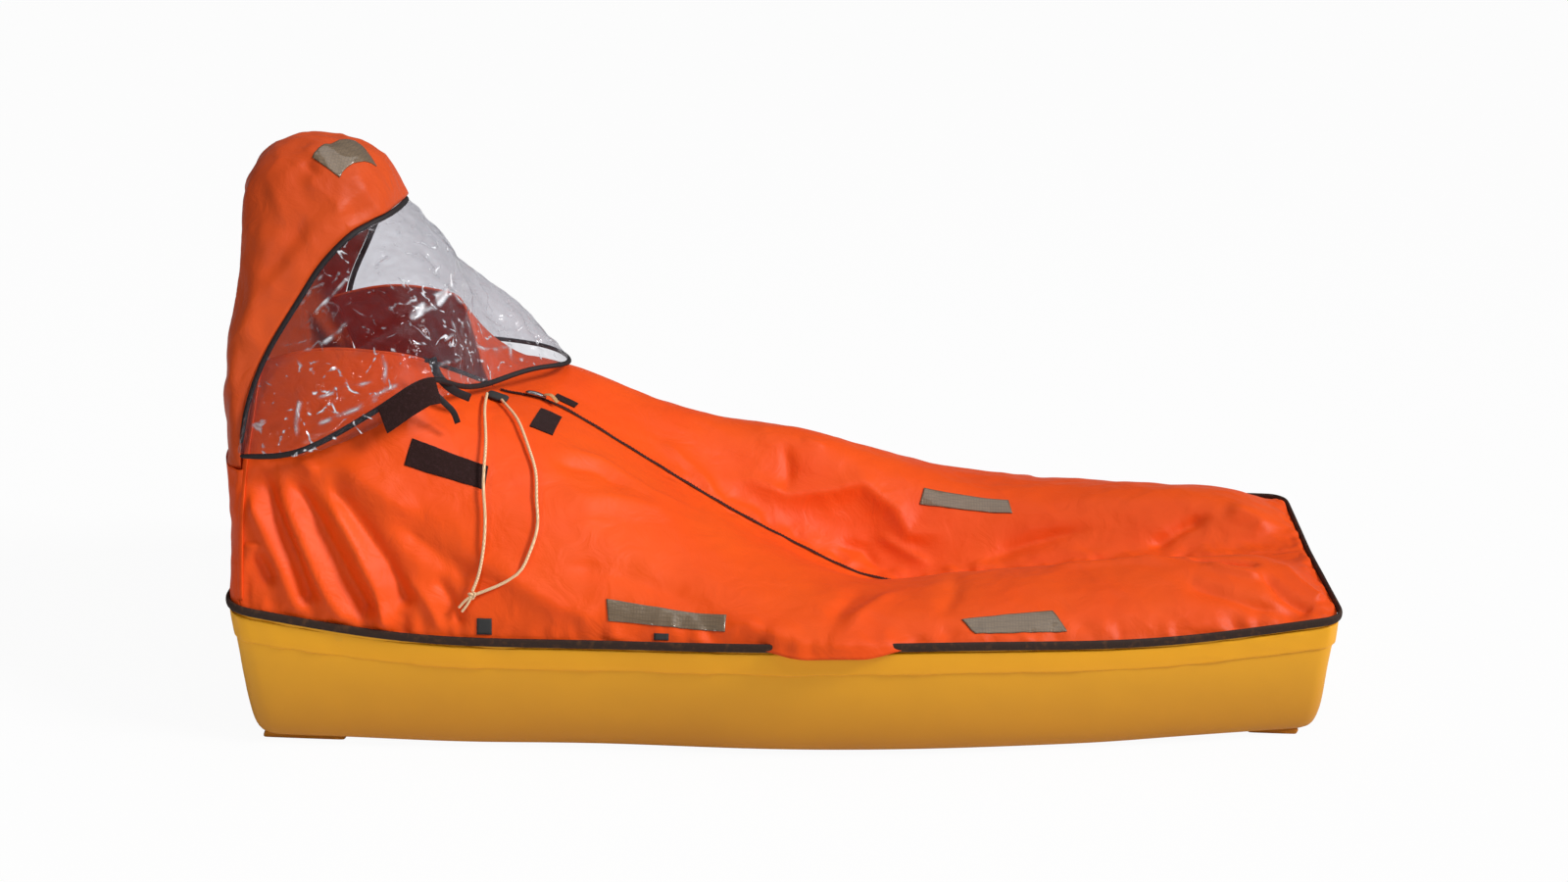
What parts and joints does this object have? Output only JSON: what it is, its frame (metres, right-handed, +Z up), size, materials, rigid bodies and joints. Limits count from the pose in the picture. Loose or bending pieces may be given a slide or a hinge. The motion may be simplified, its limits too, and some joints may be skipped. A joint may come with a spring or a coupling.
{
  "type": "single-seat life raft",
  "caption": "Inflated single-seat life raft with a yellow hull, a zipped orange canopy, a hood with a clear visor, a drawstring and a gas bottle.",
  "frame": {"origin": "centre of the bounding box in plan, on the floor that the raft stands on", "axes": "+X towards the foot end, -Y towards the side with the drawstring, +Z up"},
  "size_m": [1.8766, 0.8318, 0.9594],
  "materials": {
    "yellow_coated_fabric": "rubber-coated nylon, satin",
    "yellow_strip": "rubber-coated nylon strip, satin",
    "orange_canopy_cloth": "thin proofed nylon",
    "dark_binding_tape": "woven tape, matt",
    "hook_and_loop": "looped pile, matt",
    "clear_visor_film": "clear flexible film",
    "reflective_tape": "retroreflective tape, dull grey",
    "cream_cord": "braided cord",
    "ballast_cloth": "wet proofed cloth",
    "zip_tape": "moulded zip teeth on tape",
    "bare_metal": "satin metal",
    "black_webbing": "woven webbing",
    "black_rubber": "matt moulded rubber"
  },
  "bodies": {
    "raft": {"hull_tube": "yellow_coated_fabric", "floor_panel": "yellow_coated_fabric", "attachment_strip": "yellow_strip", "gunwale_trim": "dark_binding_tape", "canopy_side_near": "orange_canopy_cloth", "canopy_side_far": "orange_canopy_cloth", "canopy_back": "orange_canopy_cloth", "tape_near_mid": "reflective_tape", "tape_far_mid": "reflective_tape", "tape_near_foot": "reflective_tape", "tape_far_foot": "reflective_tape", "chest_patch": "hook_and_loop", "zip_tab_near": "hook_and_loop", "zip_tab_far": "hook_and_loop", "zip_chain": "zip_tape", "zip_slider": "bare_metal", "cord_keeper": "black_webbing", "drawstring_head_side": "cream_cord", "drawstring_foot_side": "cream_cord", "drawstring_knot": "cream_cord", "gunwale_tab_near_1": "black_webbing", "gunwale_tab_near_2": "black_webbing", "gunwale_tab_far_1": "black_webbing", "gunwale_tab_far_2": "black_webbing", "ballast_pocket_head_near": "ballast_cloth", "ballast_pocket_head_far": "ballast_cloth", "ballast_pocket_foot_near": "ballast_cloth", "ballast_pocket_foot_far": "ballast_cloth", "gas_bottle": "bare_metal", "inflation_valve": "bare_metal", "bottle_band_near": "black_webbing", "bottle_band_far": "black_webbing", "mouth_tube": "black_rubber", "tow_patch": "yellow_strip", "tow_loop": "black_webbing"},
    "hood_and_visor": {"hood": "orange_canopy_cloth", "visor": "clear_visor_film", "visor_arch_binding": "dark_binding_tape", "visor_hem_binding": "dark_binding_tape", "visor_patch": "hook_and_loop", "tape_hood": "reflective_tape"}
  },
  "joints": [
    {"name": "hood_tilt", "type": "hinge", "parent": "raft", "child": "hood_and_visor", "pos_m": [-0.93166, 0, 0.47], "axis": [0, -1, 0], "range_deg": [0, 80]}
  ]
}
